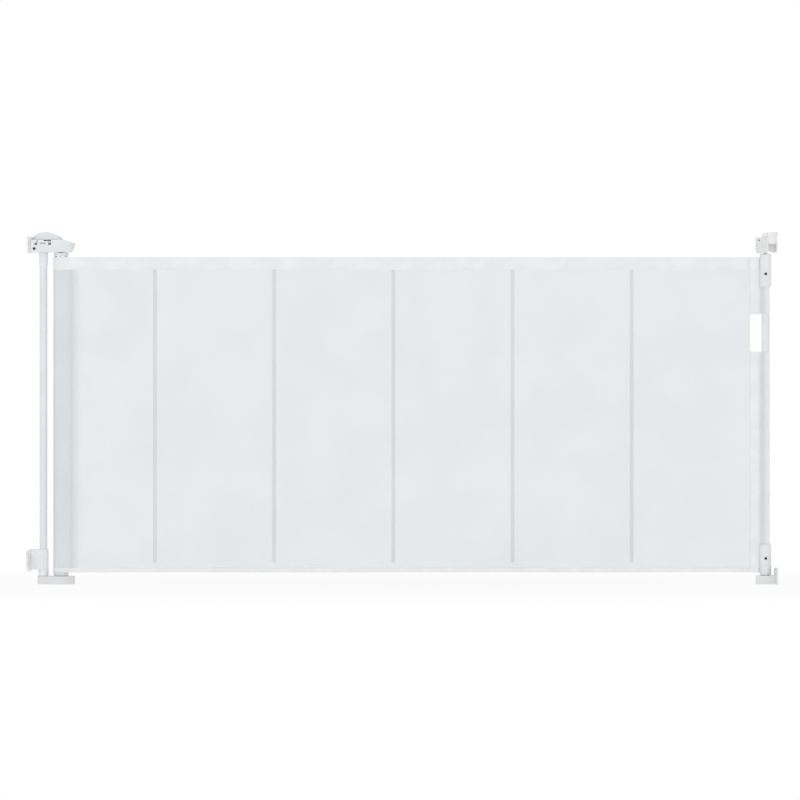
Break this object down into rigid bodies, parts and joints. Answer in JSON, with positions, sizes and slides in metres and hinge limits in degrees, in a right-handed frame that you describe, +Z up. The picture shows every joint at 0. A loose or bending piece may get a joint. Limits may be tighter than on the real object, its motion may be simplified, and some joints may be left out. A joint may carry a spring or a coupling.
{
  "type": "retractable safety gate",
  "caption": "Retractable mesh safety gate between two walls: sprung roller in a pole-mounted head and base, stiffened mesh panel, end post and wall catches.",
  "frame": {"origin": "on the level of the base's underside, midway between the two walls, in the middle of the gate's depth", "axes": "+X across the opening from the roller side to the catch side, +Y from the front to the back, +Z up"},
  "size_m": [1.855, 0.076, 0.87],
  "materials": {
    "white_shell": "moulded white plastic, fine satin texture",
    "inner_plastic": "natural acetal",
    "white_coating": "white powder coat on steel tube",
    "plain_steel": "drawn steel",
    "black_screw": "black oxide",
    "zinc_screw": "zinc plated",
    "mesh_cloth": "open woven coated polyester mesh, white",
    "batten_plastic": "extruded plastic strip"
  },
  "bodies": {
    "frame": {"upper_wall_plate": "white_shell", "head_chassis": "white_shell", "head_cover": "white_shell", "head_screws": "zinc_screw", "head_front_screw": "black_screw", "top_bush": "inner_plastic", "lock_guide": "inner_plastic", "guide_screws": "zinc_screw", "pole": "white_coating", "lower_wall_plate": "white_shell", "lower_wall_bracket": "white_shell", "bracket_screw": "zinc_screw", "base_housing": "white_shell", "base_cover": "white_shell", "base_screws": "zinc_screw", "bottom_bush": "inner_plastic", "spring_shaft": "plain_steel", "retract_spring": "plain_steel", "collar_spring": "plain_steel", "upper_catch_body": "white_shell", "flap_pin": "plain_steel", "flap_spring": "plain_steel", "button_spring": "plain_steel", "lower_catch": "white_shell"},
    "roller": {"roller_tube": "plain_steel", "roller_top_plug": "white_shell", "roller_bottom_plug": "white_shell", "lock_wheel": "inner_plastic", "wheel_screw": "zinc_screw", "spring_hub": "inner_plastic", "mesh_roll": "mesh_cloth"},
    "mesh": {"mesh_panel": "mesh_cloth", "mesh_battens": "batten_plastic"},
    "end_post": {"post_tube": "white_coating", "post_top_cap": "white_shell", "post_bottom_cap": "white_shell", "post_screws": "black_screw", "mesh_pocket_upper": "mesh_cloth", "mesh_pocket_lower": "mesh_cloth"},
    "collar": {"lock_collar": "inner_plastic"},
    "handle": {"lock_handle": "white_shell", "handle_spindle": "plain_steel", "handle_screw": "zinc_screw"},
    "bolt": {"lock_bolt": "inner_plastic"},
    "flap": {"catch_flap": "white_shell"},
    "button": {"flap_button": "white_shell"}
  },
  "joints": [
    {"name": "retract", "type": "slide", "parent": "frame", "child": "mesh", "axis": [1, 0, 0], "range_m": [-1.675, 0], "deforming": ["mesh_panel", "mesh_battens"]},
    {"name": "roller_spin", "type": "hinge", "parent": "frame", "child": "roller", "pos_m": [-0.843, 0, 0], "axis": [0, 0, 1], "continuous": true, "deforming": ["retract_spring"]},
    {"name": "post_lift", "type": "slide", "parent": "mesh", "child": "end_post", "axis": [0, 0, 1], "range_m": [0, 0.006]},
    {"name": "handle_press", "type": "slide", "parent": "frame", "child": "collar", "axis": [0, 0, -1], "range_m": [0, 0.003], "stiffness_N_per_m": 600, "springref_m": -0.003, "deforming": ["collar_spring"]},
    {"name": "handle_turn", "type": "hinge", "parent": "collar", "child": "handle", "pos_m": [-0.877, 0, 0.85], "axis": [0, 0, -1], "range_deg": [0, 90]},
    {"name": "bolt_slide", "type": "slide", "parent": "frame", "child": "bolt", "axis": [1, 0, 0], "range_m": [0, 0.004]},
    {"name": "flap_swing", "type": "hinge", "parent": "frame", "child": "flap", "pos_m": [0.8815, 0, 0.8496], "axis": [0, 1, 0], "range_deg": [0, 75], "deforming": ["flap_spring"]},
    {"name": "button_press", "type": "slide", "parent": "frame", "child": "button", "axis": [0, 0, -1], "range_m": [0, 0.00615], "stiffness_N_per_m": 1000, "springref_m": -0.0024, "deforming": ["button_spring"]}
  ],
  "couplings": [
    {"joint": "roller_spin", "follows": "retract", "rad_per_m": 45.952},
    {"joint": "bolt_slide", "follows": "handle_turn", "m_per_rad": 0.0025465},
    {"joint": "flap_swing", "follows": "button_press", "rad_per_m": 212.84}
  ]
}
